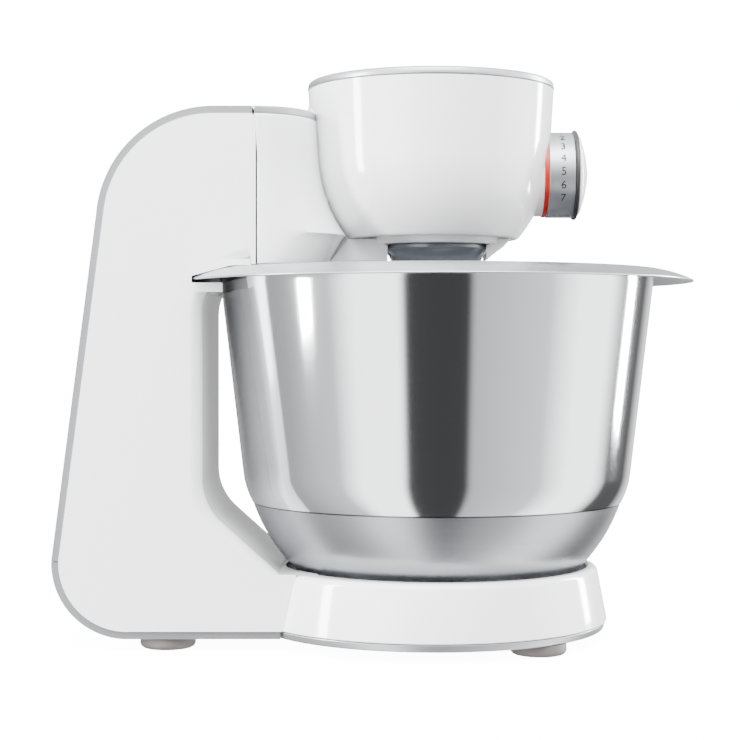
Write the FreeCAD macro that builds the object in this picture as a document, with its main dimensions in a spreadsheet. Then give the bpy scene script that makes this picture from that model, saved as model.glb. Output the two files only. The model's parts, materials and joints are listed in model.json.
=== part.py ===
"""Stand mixer with a tilting head, a planetary drive and a brimmed steel bowl.

Frame: +X is the front, +Z is up, the origin is under the middle of the whole machine.
All sizes are millimetres and live in the sheet "Sizes"; every object is bound to it.
"""
import FreeCAD
import Part
import math
import os
import re
import Sketcher

Vector = FreeCAD.Vector
doc = FreeCAD.newDocument("stand_mixer")

# ---------------------------------------------------------------- driving dimensions
SIZES = {
    # column: a leaning slab with a throat cut for the bowl
    "seam_x": -60.5, "seam_gap": 2.4, "column_top": 264.0, "column_half": 52.0,
    "top_arc_x": -79.0, "rear_upper_x": -137.3, "rear_upper_z": 212.0, "top_arc": 57.0,
    "rear_lower_x": -159.0, "rear_lower_z": 44.0, "heel_arc": 37.0, "heel_x": -124.0,
    "underside": 6.0, "toe_x": -30.0, "throat_x": -86.0, "throat_low": 83.0,
    "throat_bend_x": -76.5, "throat_bend_z": 62.0, "throat_foot_x": -49.0,
    "throat_arc": 28.0, "throat_high": 164.0, "throat_head": 190.0, "head_arc": 26.0,
    "band": 3.8, "skin": 2.5, "edge_round": 6.0, "part_gap": 0.3, "tray_depth": 16.0,
    "band_joint_z": 43.4, "band_inset": 1.2,
    # round base, the trim ring under it and the feet
    "base_x": 26.0, "base_bottom": 89.5, "base_top": 84.0, "base_height": 37.0,
    "deck_z": 26.0, "recess": 76.6, "plate_thick": 2.0, "foot_height": 5.7,
    "foot_size": 13.7, "front_foot_x": 76.0, "front_foot_y": 56.0,
    "rear_foot_x": -104.0, "rear_foot_y": 36.0,
    # bowl: a pressed steel sheet with a drooping brim
    "bowl_x": 29.0, "brim_edge": 130.0, "brim_edge_z": 180.8, "brim_peak": 112.0,
    "brim_peak_z": 186.0, "sheet": 1.0, "wall_top": 109.7, "wall_top_z": 178.0,
    "wall_foot": 98.4, "wall_foot_z": 83.4, "shoulder_arc": 41.0, "band_line": 93.9,
    "band_line_z": 69.0, "line_step": 0.4, "belly": 70.5, "belly_z": 33.6,
    "belly_arc": 85.0, "bowl_floor_z": 31.6, "foot_arc": 7.0, "brim_room": 1.6,
    "brim_room_below": 4.6, "seat_size": 60.0, "seat_bore": 30.0,
    # head: a cup on the end of a short arm
    "cup_x": 26.25, "cup_top": 62.9, "cup_top_z": 277.6, "cup_bend": 60.4,
    "cup_bend_z": 241.0, "cup_arc": 66.2, "cup_foot": 44.2, "cup_foot_z": 202.0,
    "cover_top": 282.0, "cover_round": 1.8, "stub_half": 52.0, "stub_low_x": -25.0,
    "stub_round": 20.0, "nose_lap": 1.5, "neck_half": 25.0, "keel_half": 16.0, "keel_front_x": 66.0,
    "keel_low_z": 190.5, "pocket": 29.5, "chin_x": 53.5,
    # tilt hinge inside the column
    "pivot_x": -90.0, "pivot_z": 253.5, "pin": 2.6, "pin_wall": 1.5, "boss": 5.0, "lug_in": 9.0,
    "lug_out": 16.0, "frame_in": 22.0, "frame_out": 26.0, "bush_wall": 3.0,
    # drive: tooth numbers and modules fix the distances between the shafts
    "ring_teeth": 36, "planet_teeth": 16, "carrier_teeth": 40, "lay_teeth": 14,
    "wheel_teeth": 50, "pinion_teeth": 12, "coarse_module": 1.25, "fine_module": 1.0,
    "backlash": 0.24, "running": 0.05, "shaft": 4.0, "journal": 3.0,
    "collar": 30.3, "collar_wall": 2.2, "collar_top": 203.6, "collar_low": 199.0,
    "flange": 27.5, "flange_z": 197.0, "hub_size": 22.6, "hub_low": 172.0,
    "hub_neck": 25.6, "flare_z": 189.0, "pillar": 18.5, "socket_bore": 5.2,
    "socket_size": 8.0, "socket_depth": 16.0, "socket_top": 190.0,
    "planet_z": 205.0, "planet_face": 6.0, "carrier_z": 212.6, "carrier_face": 6.0,
    "tray_z": 204.8, "tray_thick": 3.5, "ring_rim": 4.0,
    "deck_plate_z": 220.0, "deck_plate_thick": 3.0, "wheel_z": 224.4, "wheel_face": 5.0,
    "bracket_z": 231.0, "stator_z": 236.0, "stator_height": 18.0, "stator_size": 40.0,
    "stator_bore": 22.0, "air_gap": 0.5, "commutator": 9.0, "commutator_z": 255.5,
    "upper_bracket_z": 262.0, "bracket_size": 46.6, "bearing_size": 8.0,
    "fan_size": 36.0, "fan_z": 266.0, "coupling_size": 10.0, "coupling_z": 270.0,
    "coupling_height": 7.0, "top_deck_z": 272.0, "post": 3.0, "post_circle": 43.3,
    # speed dial
    "dial_z": 235.0, "dial_size": 21.8, "dial_back_x": 88.6, "dial_front_x": 99.8,
    "grip_size": 22.9, "grip_width": 2.4, "cap_size": 20.4, "cap_bulge": 4.2, "cap_flat": 0.8,
    "red_ring": 1.8, "dial_shaft": 3.0, "boss_size": 21.0,
    # lock button on the far side
    "button_x": -84.0, "button_z": 236.0, "button_size": 9.0, "button_proud": 2.4,
    "bolt_size": 3.0,
}

sheet = doc.addObject("Spreadsheet::Sheet", "Sizes")
for row, (alias, number) in enumerate(SIZES.items(), start=1):
    sheet.set("A%d" % row, alias)
    sheet.set("B%d" % row, str(number))
    sheet.setAlias("B%d" % row, alias)
doc.recompute()


# ---------------------------------------------------------------- helpers
def linked(formula):
    """Write a formula of sheet words as an expression that other objects can read."""
    def point_at_sheet(match):
        word = match.group(0)
        return "Sizes." + word if word in SIZES else word
    return re.sub(r"[a-z_]+", point_at_sheet, str(formula))


def number(formula):
    """The present value of a formula of sheet words."""
    result = sheet.evalExpression(linked(formula))
    return float(getattr(result, "Value", result))


def bind(thing, **formulas):
    """Bind properties to formulas; a double underscore stands for a dot."""
    for name, formula in formulas.items():
        thing.setExpression(name.replace("__", "."), linked(formula))
    return thing


def move(thing, x="0", y="0", z="0", turn=None):
    """Place an object; turn is a rotation, x, y and z are formulas."""
    if turn is not None:
        thing.Placement = FreeCAD.Placement(Vector(0, 0, 0), turn)
    return bind(thing, Placement__Base__x=x, Placement__Base__y=y, Placement__Base__z=z)


TO_Y = FreeCAD.Rotation(Vector(1, 0, 0), -90)
TO_X = FreeCAD.Rotation(Vector(0, 1, 0), 90)
UPRIGHT = FreeCAD.Rotation(Vector(1, 0, 0), 90)


def outline(target, points):
    """Draw a closed outline in a sketch and tie it to the sheet.

    A point is (across, up) in formulas, or (across, up, radius, side) when the line that
    arrives there is an arc; side is +1 when the arc bulges to the left of its chord.
    """
    spots = [Vector(number(point[0]), number(point[1]), 0) for point in points]
    edges = []
    for index, point in enumerate(points):
        start, end = spots[index - 1], spots[index]
        if len(point) == 2:
            edges.append(target.addGeometry(Part.LineSegment(start, end)))
            continue
        radius, side = number(point[2]), point[3]
        chord = end - start
        rise = radius - math.sqrt(radius ** 2 - (chord.Length / 2) ** 2)
        left = Vector(-chord.y, chord.x, 0).normalize()
        middle = (start + end) / 2 + left * rise * side
        # arcs are stored anticlockwise, so one that bulges to the left is drawn from its end
        first, last = (end, start) if side > 0 else (start, end)
        edges.append(target.addGeometry(Part.Arc(first, middle, last)))
    tie = target.addConstraint
    for index, point in enumerate(points):
        edge, following = edges[index], edges[(index + 1) % len(points)]
        end_of = 1 if len(point) == 4 and point[3] > 0 else 2
        next_point = points[(index + 1) % len(points)]
        start_of = 2 if len(next_point) == 4 and next_point[3] > 0 else 1
        tie(Sketcher.Constraint("Coincident", edge, end_of, following, start_of))
        for kind, formula in (("DistanceX", point[0]), ("DistanceY", point[1])):
            rule = tie(Sketcher.Constraint(kind, -1, 1, edge, end_of, number(formula)))
            target.setExpression("Constraints[%d]" % rule, linked(formula))
        if len(point) == 4:
            rule = tie(Sketcher.Constraint("Radius", edge, number(point[2])))
            target.setExpression("Constraints[%d]" % rule, linked(point[2]))
    return target


def plane_of(body, role):
    """One of a body's own origin planes."""
    return next(item for item in body.Origin.OriginFeatures if item.Role == role)


def turned(label, points, x="0", y="0", z="0", turn=None):
    """A PartDesign body turned about its own vertical axis; points are (radius, height)."""
    body = doc.addObject("PartDesign::Body", label)
    drawing = body.newObject("Sketcher::SketchObject", label + "_outline")
    drawing.AttachmentSupport = [(plane_of(body, "XZ_Plane"), "")]
    drawing.MapMode = "FlatFace"
    outline(drawing, points)
    revolution = body.newObject("PartDesign::Revolution", label + "_turning")
    revolution.Profile = drawing
    revolution.ReferenceAxis = (drawing, ["V_Axis"])
    revolution.Angle = 360.0
    body.Tip = revolution
    return move(body, x, y, z, turn)


def ring(label, inner, outer, low, high, x="0", y="0", z="0", turn=None):
    """A plain ring or bush as a turned body."""
    square = [(inner, low), (outer, low), (outer, high), (inner, high)]
    return turned(label, square, x, y, z, turn)


def side_drawing(label, points):
    """An outline seen from the side: across is X, up is Z."""
    drawing = doc.addObject("Sketcher::SketchObject", label)
    drawing.Placement = FreeCAD.Placement(Vector(0, 0, 0), UPRIGHT)
    return outline(drawing, points)


def slab(label, drawing, low, high):
    """A side outline drawn out along Y from low to high."""
    block = doc.addObject("Part::Extrusion", label)
    block.Base = drawing
    block.DirMode = "Custom"
    block.Dir = Vector(0, 1, 0)
    block.Solid = True
    return bind(block, LengthFwd=high, LengthRev="-(%s)" % low)


def block(label, length, width, height, x, y, z):
    """A box from its corner."""
    shape = doc.addObject("Part::Box", label)
    return move(bind(shape, Length=length, Width=width, Height=height), x, y, z)


def rod(label, radius, height, x="0", y="0", z="0", turn=None):
    """A cylinder from the centre of its foot."""
    shape = doc.addObject("Part::Cylinder", label)
    return move(bind(shape, Radius=radius, Height=height), x, y, z, turn)


def cut(label, base, *tools):
    """Base less the tools."""
    tool = tools[0] if len(tools) == 1 else fuse(label + "_cutters", *tools)
    result = doc.addObject("Part::Cut", label)
    result.Base, result.Tool = base, tool
    return result


def fuse(label, *shapes):
    """One solid from touching or crossing shapes."""
    result = doc.addObject("Part::MultiFuse", label)
    result.Shapes = list(shapes)
    return result


def common(label, *shapes):
    """What the shapes share."""
    result = doc.addObject("Part::MultiCommon", label)
    result.Shapes = list(shapes)
    return result


def smooth(label, base, radius, picked):
    """Round the edges of base for which picked(edge) is true."""
    doc.recompute()
    chosen = [number_of for number_of, edge in enumerate(base.Shape.Edges, start=1)
              if picked(edge)]
    rounding = doc.addObject("Part::Fillet", label)
    rounding.Base = base
    rounding.Edges = [(number_of, number(radius), number(radius)) for number_of in chosen]
    return rounding


NODES = []


def node(name, shape):
    """Give a finished sub-part its own name."""
    shape.Label = name
    NODES.append(shape)
    return shape


# ---------------------------------------------------------------- column outlines
COLUMN_FRONT_X = "seam_x - seam_gap / 2"


def column_rear(rim):
    """The column's top, back and underside, set in by a rim, from the seam to the toe."""
    return [
        (COLUMN_FRONT_X, "column_top - %s" % rim),
        ("top_arc_x", "column_top - %s" % rim),
        ("rear_upper_x + %s" % rim, "rear_upper_z", "top_arc - %s" % rim, -1),
        ("rear_lower_x + %s" % rim, "rear_lower_z"),
        ("heel_x", "underside + %s" % rim, "heel_arc - %s" % rim, -1),
        ("toe_x", "underside + %s" % rim),
    ]


def column_front(face):
    """The column's throat side, set in by a face, from the toe to the seam."""
    return [
        ("toe_x", "base_height + part_gap - %s" % face),
        ("throat_foot_x - %s" % face, "base_height + part_gap - %s" % face),
        ("throat_bend_x - 0.66 * %s" % face, "throat_bend_z - 0.75 * %s" % face),
        ("throat_x - %s" % face, "throat_low", "throat_arc + %s" % face, 1),
        ("throat_x - %s" % face, "throat_high"),
        (COLUMN_FRONT_X, "throat_head + %s" % face, "head_arc + %s" % face, 1),
    ]


def strip_back(points):
    """The same path walked backwards, so that arcs bulge the other way."""
    back = []
    for index in range(len(points) - 1, -1, -1):
        across, up = points[index][:2]
        following = points[index + 1] if index + 1 < len(points) else ()
        if len(following) == 4:
            back.append((across, up, following[2], -following[3]))
        else:
            back.append((across, up))
    return back


band_drawing = side_drawing("band_outline", column_rear("0") + strip_back(
    column_rear("(band - part_gap)")))
tray_drawing = side_drawing("tray_outline", column_rear("band") + column_front("0"))
hollow_drawing = side_drawing(
    "hollow_outline", column_rear("(band + skin)")[:-1] + [("toe_x + 1", "underside + band + skin")]
    + [("toe_x + 1", "base_height + part_gap - skin")] + column_front("skin")[1:-1]
    + [(COLUMN_FRONT_X + " - skin", "throat_head + skin", "head_arc + skin", 1),
       (COLUMN_FRONT_X + " - skin", "column_top - band - skin")])

# what the base and the brim of the bowl need free of column
base_room = turned("base_room", [
    ("0", "0"), ("base_bottom + part_gap", "0"), ("base_bottom + part_gap", "underside + band"),
    ("base_top + part_gap", "base_height + part_gap / 2"), ("0", "base_height + part_gap / 2"),
], x="base_x")


def brim_space(label, extra):
    """The space that the brim sweeps when the bowl turns, grown by extra."""
    return turned(label, [
        ("wall_foot", "brim_edge_z - brim_room_below - %s" % extra),
        ("brim_edge + brim_room + %s" % extra, "brim_edge_z - brim_room_below - %s" % extra),
        ("brim_edge + brim_room + %s" % extra, "brim_edge_z + brim_room + %s" % extra),
        ("brim_peak", "brim_peak_z + brim_room + %s" % extra),
        ("wall_foot", "brim_peak_z + brim_room + %s" % extra),
    ], x="bowl_x")


brim_room = brim_space("brim_room_shape", "0")
recess = rod("recess", "recess", "30", "bowl_x", "0", "deck_z")


# ---------------------------------------------------------------- column sub-parts
def on_throat_rim(edge):
    """Edges of the throat that lie in the outer side face."""
    box = edge.BoundBox
    flat = box.YLength < 0.01 and abs(abs(box.YMin) - number("column_half")) < 0.01
    ahead = number("throat_x") - 1 < box.XMin and box.XMax < number("throat_foot_x") + 1
    above = number("base_height") + 0.2 < box.ZMin and box.ZMax < number("throat_head") + 0.1
    return flat and ahead and above


def column_side(name, low, high, hollow_low, hollow_high, *holes):
    """One moulded tray: a side wall with a rim all round, clear of base and brim."""
    solid = slab(name + "_block", tray_drawing, low, high)
    rounded = smooth(name + "_rounded", solid, "edge_round", on_throat_rim)
    hollow = slab(name + "_hollow", hollow_drawing, hollow_low, hollow_high)
    return node(name, cut(name + "_cut", rounded, hollow, base_room, brim_room, recess, *holes))


button_hole = rod("button_hole", "button_size + part_gap", "column_half",
                  "button_x", "tray_depth", "button_z", TO_Y)
column_side("column_side_right", "-column_half", "-column_half + tray_depth",
            "-column_half + skin", "-column_half + tray_depth + 1")
column_side("column_side_left", "column_half - tray_depth", "column_half",
            "column_half - tray_depth - 1", "column_half - skin", button_hole)

band = slab("band_strip", band_drawing, "-column_half + band_inset", "column_half - band_inset")
gland_hole = rod("gland_hole", "5.5", "30", "-165", "0", "28", TO_X)
for name, low, tall in (("spine_cover", "band_joint_z + 0.2", "column_top"),
                        ("heel_cover", "-1", "band_joint_z + 0.8")):
    side = block(name + "_side", "200", "2 * column_half", tall, "-170", "-column_half", low)
    piece = common(name + "_piece", band, side)
    node(name, cut(name + "_cut", piece, base_room, gland_hole))

node("cable_gland", ring("cable_gland_body", "3.2", "5.5", "0", "10", "-158.4", "0", "28", TO_X))

throat_strip = side_drawing("throat_outline", strip_back(column_front("0")[1:]) + strip_back(
    strip_back(column_front("skin")[1:])))
throat_block = slab("throat_block", throat_strip, "-column_half + tray_depth + part_gap",
                    "column_half - tray_depth - part_gap")
throat_top_cut = block("throat_top_cut", "60", "2 * column_half", "40", "-100", "-column_half",
                       "brim_edge_z - brim_room_below - 2 - part_gap")
node("throat_cover", cut("throat_cut", throat_block, throat_top_cut, base_room))

slot_shell = cut("slot_shell", brim_space("slot_outside", "2"), brim_room)
slot_side = slab("slot_side", tray_drawing, "-column_half + tray_depth + part_gap",
                 "column_half - tray_depth - part_gap")
node("brim_slot", common("brim_slot_piece", slot_shell, slot_side))

frame_drawing = side_drawing("frame_outline", [
    ("-128", "underside + band + plate_thick"), ("-68", "underside + band + plate_thick"),
    ("-68", "24"), ("-88", "42"), ("-108", "62"), ("-108", "200"),
    ("button_x + 9", "button_z - 9"), ("button_x + 9", "button_z + 9"),
    ("pivot_x + 5.4", "pivot_z + 4.9"), ("pivot_x", "pivot_z + 4.9"),
    ("pivot_x - 8", "pivot_z - 1.5"), ("-120", "236"), ("-128", "212"), ("-140", "44"),
    ("-136", "22"),
])
pin_bore = rod("pin_bore", "pin + pin_wall", "2 * column_half", "pivot_x", "-column_half",
               "pivot_z", TO_Y)
bolt_bore = rod("bolt_bore", "bolt_size + running", "2 * column_half", "button_x",
                "-column_half", "button_z", TO_Y)
bushes = []
for name, low, high in (("frame_plate_right", "-frame_out", "-frame_in"),
                        ("frame_plate_left", "frame_in", "frame_out")):
    plate = slab(name + "_plate", frame_drawing, low, high)
    node(name, cut(name + "_cut", plate, pin_bore, bolt_bore))
    bushes.append(ring(name + "_bush", "pin + running", "pin + pin_wall", "0",
                       "frame_out - frame_in", "pivot_x", low, "pivot_z", TO_Y))
node("hinge_bushes", fuse("hinge_bush_group", *bushes))
node("hinge_pin", rod("hinge_pin_rod", "pin", "2 * frame_out + 4", "pivot_x", "-frame_out - 2",
                      "pivot_z", TO_Y))
node("frame_spacers", fuse("frame_spacer_group", *[
    rod("spacer", "4", "2 * frame_in", x, "-frame_in", z, TO_Y)
    for x, z in (("-118", "90"), ("-118", "150"), ("-90", "22"))]))

# ---------------------------------------------------------------- base sub-parts
base_solid = turned("base_solid", [
    ("0", "underside + band"), ("base_bottom", "underside + band"),
    ("base_top + 1", "base_height - 3"), ("base_top - 2", "base_height", "3.4", -1),
    ("0", "base_height"),
], x="base_x")
base_hollow = turned("base_hollow", [
    ("0", "underside"), ("base_bottom - skin", "underside"),
    ("base_bottom - skin", "underside + band"),
    ("base_top - skin", "deck_z - 2"), ("0", "deck_z - 2"),
], x="base_x")
node("base_housing", cut("base_housing_cut", base_solid, base_hollow, recess))
node("base_trim", ring("base_trim_ring", "base_bottom - 9", "base_bottom - 0.6",
                       "foot_height + 0.1", "underside + band - part_gap", "base_x"))
node("bottom_plates", fuse(
    "bottom_plate_pair",
    rod("bottom_disc", "base_bottom - skin - part_gap - 0.9", "plate_thick", "base_x", "0",
        "underside + band"),
    block("bottom_tongue", "58", "2 * (column_half - tray_depth - part_gap)", "plate_thick",
          "-124", "-column_half + tray_depth + part_gap", "underside + band")))
node("bowl_seat", ring("bowl_seat_ring", "seat_bore", "seat_size", "deck_z",
                       "bowl_floor_z - part_gap", "bowl_x"))
feet = []
for end in ("front", "rear"):
    for side, sign in (("right", "-"), ("left", "")):
        feet.append(turned("%s_foot_%s" % (end, side), [
            ("0", "0"), ("foot_size - 2.5", "0"), ("foot_size", "3", "2.8", -1),
            ("foot_size", "foot_height"), ("0", "foot_height"),
        ], "%s_foot_x" % end, "%s%s_foot_y" % (sign, end)))
node("rubber_feet", fuse("foot_group", *feet))
node("plate_screws", fuse("plate_screw_group", *[
    rod("plate_screw", "2.4", "1.8", x, y, "underside + band - 2.1")
    for x in ("-20", "80") for y in ("-40", "40")]))

# ---------------------------------------------------------------- bowl
node("bowl", turned("bowl_body", [
    ("0", "bowl_floor_z"), ("belly - 5", "bowl_floor_z"), ("belly", "belly_z", "foot_arc", -1),
    ("band_line - line_step", "band_line_z", "belly_arc", -1), ("band_line", "band_line_z"),
    ("wall_foot", "wall_foot_z", "shoulder_arc", -1), ("wall_top", "wall_top_z"),
    ("wall_top + 0.9", "brim_peak_z - 1.9"), ("brim_peak + 1", "brim_peak_z - 1.05 * sheet"),
    ("brim_edge", "brim_edge_z - sheet"), ("brim_edge", "brim_edge_z"),
    ("brim_peak", "brim_peak_z"), ("wall_top - 0.4", "brim_peak_z - 1.6", "2.4", -1),
    ("wall_top - sheet", "wall_top_z"), ("wall_foot - sheet", "wall_foot_z"),
    ("band_line - 1.1 * sheet", "band_line_z + 0.35", "shoulder_arc - sheet", 1),
    ("belly - 0.7 * sheet", "belly_z + 0.75 * sheet", "belly_arc - sheet", 1),
    ("belly - 5", "bowl_floor_z + sheet", "foot_arc - sheet", 1),
    ("0", "bowl_floor_z + sheet"),
], x="bowl_x"))

# ---------------------------------------------------------------- head housing
STUB_X = "seam_x + seam_gap / 2"


def cup_form(label, wall, floor, top):
    """The cup's outside, or its inside when wall is its thickness."""
    return turned(label, [
        ("0", "cup_foot_z + %s" % floor), ("cup_foot - %s" % wall, "cup_foot_z + %s" % floor),
        ("cup_bend - %s" % wall, "cup_bend_z", "cup_arc - %s" % wall, -1),
        ("cup_top - %s" % wall, top), ("0", top),
    ], x="cup_x")


def stub_points(wall):
    """The arm's side outline; its nose follows the back of the cup, a little way inside."""
    nose = "cup_x + nose_lap - %s" % wall
    return [
        (STUB_X + " + %s" % wall, "column_top - band - %s" % wall),
        (STUB_X + " + %s" % wall, "throat_head + %s" % wall),
        ("stub_low_x - 1.6 * %s" % wall, "throat_head + %s" % wall),
        (nose + " - cup_foot", "cup_foot_z"),
        (nose + " - cup_bend", "cup_bend_z", "cup_arc + %s" % wall, 1),
        (nose + " - cup_top + 0.7", "column_top - band - %s" % wall),
    ]


def stub_form(label, wall):
    """The arm: a slab whose nose edges are rounded in plan."""
    drawing = side_drawing(label + "_outline", stub_points(wall))
    half = number("stub_half - %s" % wall)
    solid = slab(label + "_slab", drawing, "-(stub_half - %s)" % wall, "stub_half - %s" % wall)

    def on_nose(edge):
        box = edge.BoundBox
        flat = box.YLength < 0.01 and abs(abs(box.YMin) - half) < 0.01
        return flat and box.XMin > number("cup_x - cup_top") - 4.0 and box.ZLength > 15.0
    return smooth(label, solid, "stub_round - %s" % wall, on_nose)


cup_outside = cup_form("cup_outside", "0", "0", "cup_top_z")
stub_outside = stub_form("stub_outside", "0")
neck_outside = block("neck_outside", "50", "2 * neck_half", "column_top - band - cup_foot_z - 4",
                     "cup_x - cup_top - 12", "-neck_half", "cup_foot_z + 2")
cup_inside = cup_form("cup_inside", "skin", "skin", "cup_top_z + 1")
stub_inside = stub_form("stub_inside", "skin")
neck_inside = block("neck_inside", "46", "2 * (neck_half - skin)",
                    "column_top - band - cup_foot_z - 4 - 2 * skin", "cup_x - cup_top - 12 + skin",
                    "-(neck_half - skin)", "cup_foot_z + 2 + skin")
hub_opening = rod("hub_opening", "collar", "20", "bowl_x", "0", "collar_low - 5")
lug_slot = block("lug_slot", "12", "2 * (lug_out + part_gap)", "30", STUB_X + " - 2",
                 "-lug_out - part_gap", "pivot_z - 50")
shaft_hole = rod("shaft_hole", "dial_shaft + 0.4", "60", "cup_x + 30", "0", "dial_z", TO_X)
node("head_housing", cut(
    "head_housing_cut", fuse("head_outside", cup_outside, stub_outside, neck_outside),
    cup_inside, stub_inside, neck_inside, hub_opening, lug_slot, shaft_hole))

strip_slab = slab("strip_slab", side_drawing("strip_outline", [
    (STUB_X, "column_top"), (STUB_X, "column_top - band + part_gap"),
    ("cup_x - cup_top + 1.1", "column_top - band + part_gap"),
    ("cup_x - cup_top + 0.9", "column_top"),
]), "-stub_half + band_inset", "stub_half - band_inset")
strip_round = smooth("strip_round", strip_slab, "stub_round - band_inset", lambda edge: (
    edge.BoundBox.ZLength > 3 and edge.BoundBox.YLength < 0.01
    and edge.BoundBox.XMin > number("cup_x - cup_top") - 4))
node("arm_strip", cut("arm_strip_cut", strip_round, cup_outside))

keel = slab("keel", side_drawing("keel_outline", [
    ("cup_x - cup_foot + nose_lap + part_gap", "cup_foot_z - part_gap"),
    ("stub_low_x + 0.7", "keel_low_z"), ("chin_x", "keel_low_z"),
    ("chin_x + 3.4", "keel_low_z + 3"), ("chin_x + 9", "keel_low_z + 7.2"),
    ("keel_front_x", "cup_foot_z - part_gap"),
]), "-keel_half", "keel_half")
node("head_bottom", cut("head_bottom_cut", keel,
                        rod("keel_pocket", "pocket", "30", "bowl_x", "0", "keel_low_z - 5"),
                        rod("keel_collar", "collar + part_gap", "30", "bowl_x", "0",
                            "collar_low - part_gap")))
node("top_cover", turned("top_cover_body", [
    ("0", "cup_top_z + part_gap + skin"), ("cup_top - 5", "cup_top_z + part_gap + skin"),
    ("cup_top - 5", "cup_top_z + part_gap"), ("cup_top - 0.4", "cup_top_z + part_gap"),
    ("cup_top", "cup_top_z + 1.4"), ("cup_top - cover_round", "cover_top - 0.4", "2.6", -1),
    ("cup_top - 7", "cover_top"), ("0", "cover_top"),
], x="cup_x"))
node("hub_collar", ring("hub_collar_ring", "collar - collar_wall", "collar", "collar_low",
                        "collar_top", "bowl_x"))

# ---------------------------------------------------------------- hinge arm and drive supports
ARM_END = "(seam_x + 22.5)"
arm_drawing = side_drawing("arm_outline", [
    ("pivot_x - 3.5", "pivot_z - 3.5"), ("pivot_x - 2.5", "pivot_z - 22"),
    ("pivot_x + 4", "pivot_z - 27"), ("pivot_x + 22", "pivot_z - 41"),
    (ARM_END, "pivot_z - 45"), (ARM_END, "pivot_z - 24"), ("pivot_x + 28", "pivot_z - 21.5"),
    ("pivot_x + 25", "pivot_z - 14.5"), ("pivot_x + 18", "pivot_z - 8.5"),
    ("pivot_x + 10", "pivot_z - 1.5"), ("pivot_x + 3.5", "pivot_z + 3.5"),
])
lug_bore = rod("lug_bore", "pin + running", "100", "pivot_x", "-50", "pivot_z", TO_Y)
lock_hole = rod("lock_hole", "bolt_size + 0.4", "40", "button_x", "0", "button_z", TO_Y)
lugs = []
for side, low in (("right", "-lug_out"), ("left", "lug_in")):
    lugs.append(slab("lug_" + side, arm_drawing, low, low + " + lug_out - lug_in"))
    lugs.append(rod("lug_boss_" + side, "boss", "lug_out - lug_in", "pivot_x", low, "pivot_z",
                    TO_Y))
lugs.append(block("lug_bridge", "6", "2 * lug_out", "16", ARM_END + " - 6", "-lug_out",
                  "pivot_z - 43"))
node("hinge_arm", cut("hinge_arm_cut", fuse("hinge_arm_blank", *lugs), lug_bore, lock_hole))

HUB_X = "bowl_x"
LAY_X = "(bowl_x - coarse_module * (carrier_teeth + lay_teeth) / 2)"
MOTOR_X = "(%s + fine_module * (wheel_teeth + pinion_teeth) / 2)" % LAY_X
PLANET_X = "(bowl_x + coarse_module * (ring_teeth - planet_teeth) / 2)"
TRAY_R = "(cup_foot - skin - part_gap)"
RING_OUT = "(coarse_module * (ring_teeth / 2 + 1.2) + ring_rim)"

node("gearbox_tray", cut(
    "gearbox_tray_cut", rod("gearbox_tray_disc", TRAY_R, "tray_thick", "cup_x", "0", "tray_z"),
    rod("tray_ring_hole", RING_OUT + " + part_gap", "20", HUB_X, "0", "tray_z - 5"),
    rod("tray_lay_hole", "journal + bush_wall - 0.4", "20", LAY_X, "0", "tray_z - 5")))
deck = fuse("deck_blank",
            rod("deck_disc", "cup_bend - skin - 6.5", "deck_plate_thick", "cup_x", "0",
                "deck_plate_z"),
            block("deck_tail", "40", "2 * (neck_half - skin - part_gap - 2)", "deck_plate_thick",
                  ARM_END, "-(neck_half - skin - part_gap - 2)", "deck_plate_z"))
POSTS = [("%s + 0.7071 * post_circle * (%d)" % ("cup_x", across), "0.7071 * post_circle * (%d)" % along)
         for across in (-1, 1) for along in (-1, 1)]


def post_rods(label, radius, low, height):
    """Four upright rods round the motor."""
    return [rod("%s_%d" % (label, count), radius, height, x, y, low)
            for count, (x, y) in enumerate(POSTS)]


node("gearbox_deck", cut(
    "gearbox_deck_cut", deck,
    rod("deck_hub_hole", "shaft + bush_wall", "20", HUB_X, "0", "deck_plate_z - 5"),
    rod("deck_lay_hole", "shaft + bush_wall", "20", LAY_X, "0", "deck_plate_z - 5")))
node("carrier_bush", ring("carrier_bush_ring", "shaft + running", "shaft + bush_wall",
                          "deck_plate_z", "deck_plate_z + deck_plate_thick", HUB_X))
node("layshaft_bushes", fuse(
    "layshaft_bush_group",
    ring("lower_lay_bush", "journal + running", "journal + bush_wall - 0.4", "tray_z",
         "tray_z + tray_thick", LAY_X),
    ring("upper_lay_bush", "shaft + running", "shaft + bush_wall", "deck_plate_z",
         "deck_plate_z + deck_plate_thick", LAY_X)))
node("hub_bush", ring("hub_bush_ring", "hub_neck + part_gap", "collar - collar_wall",
                      "collar_low + 0.1", "collar_top", HUB_X))
node("motor_posts", fuse("motor_post_group", *post_rods(
    "post", "post", "deck_plate_z + deck_plate_thick",
    "upper_bracket_z - deck_plate_z - deck_plate_thick")))
bearings = []
for name, low in (("lower_bracket", "bracket_z"), ("upper_bracket", "upper_bracket_z")):
    holes = post_rods(name + "_hole", "post", "bracket_z - 5", "upper_bracket_z - bracket_z + 5")
    node(name, cut(name + "_cut", rod(name + "_disc", "bracket_size", "3", MOTOR_X, "0", low),
                   rod(name + "_bore", "bearing_size", "20", MOTOR_X, "0", low + " - 5"), *holes))
    bearings.append(ring(name + "_bearing", "shaft - 0.5 + running", "bearing_size",
                         low + " - 0.5", low + " + 3.5", MOTOR_X))
node("motor_bearings", fuse("motor_bearing_group", *bearings))
node("stator", ring("stator_ring", "stator_bore", "stator_size", "stator_z",
                    "stator_z + stator_height", MOTOR_X))
node("carbon_brushes", fuse("brush_group", *[
    block("brush_%d" % count, "14", "6", "upper_bracket_z - part_gap - commutator_z", x, "-3",
          "commutator_z")
    for count, x in enumerate((MOTOR_X + " + commutator + part_gap",
                               MOTOR_X + " - commutator - part_gap - 14"))]))
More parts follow.
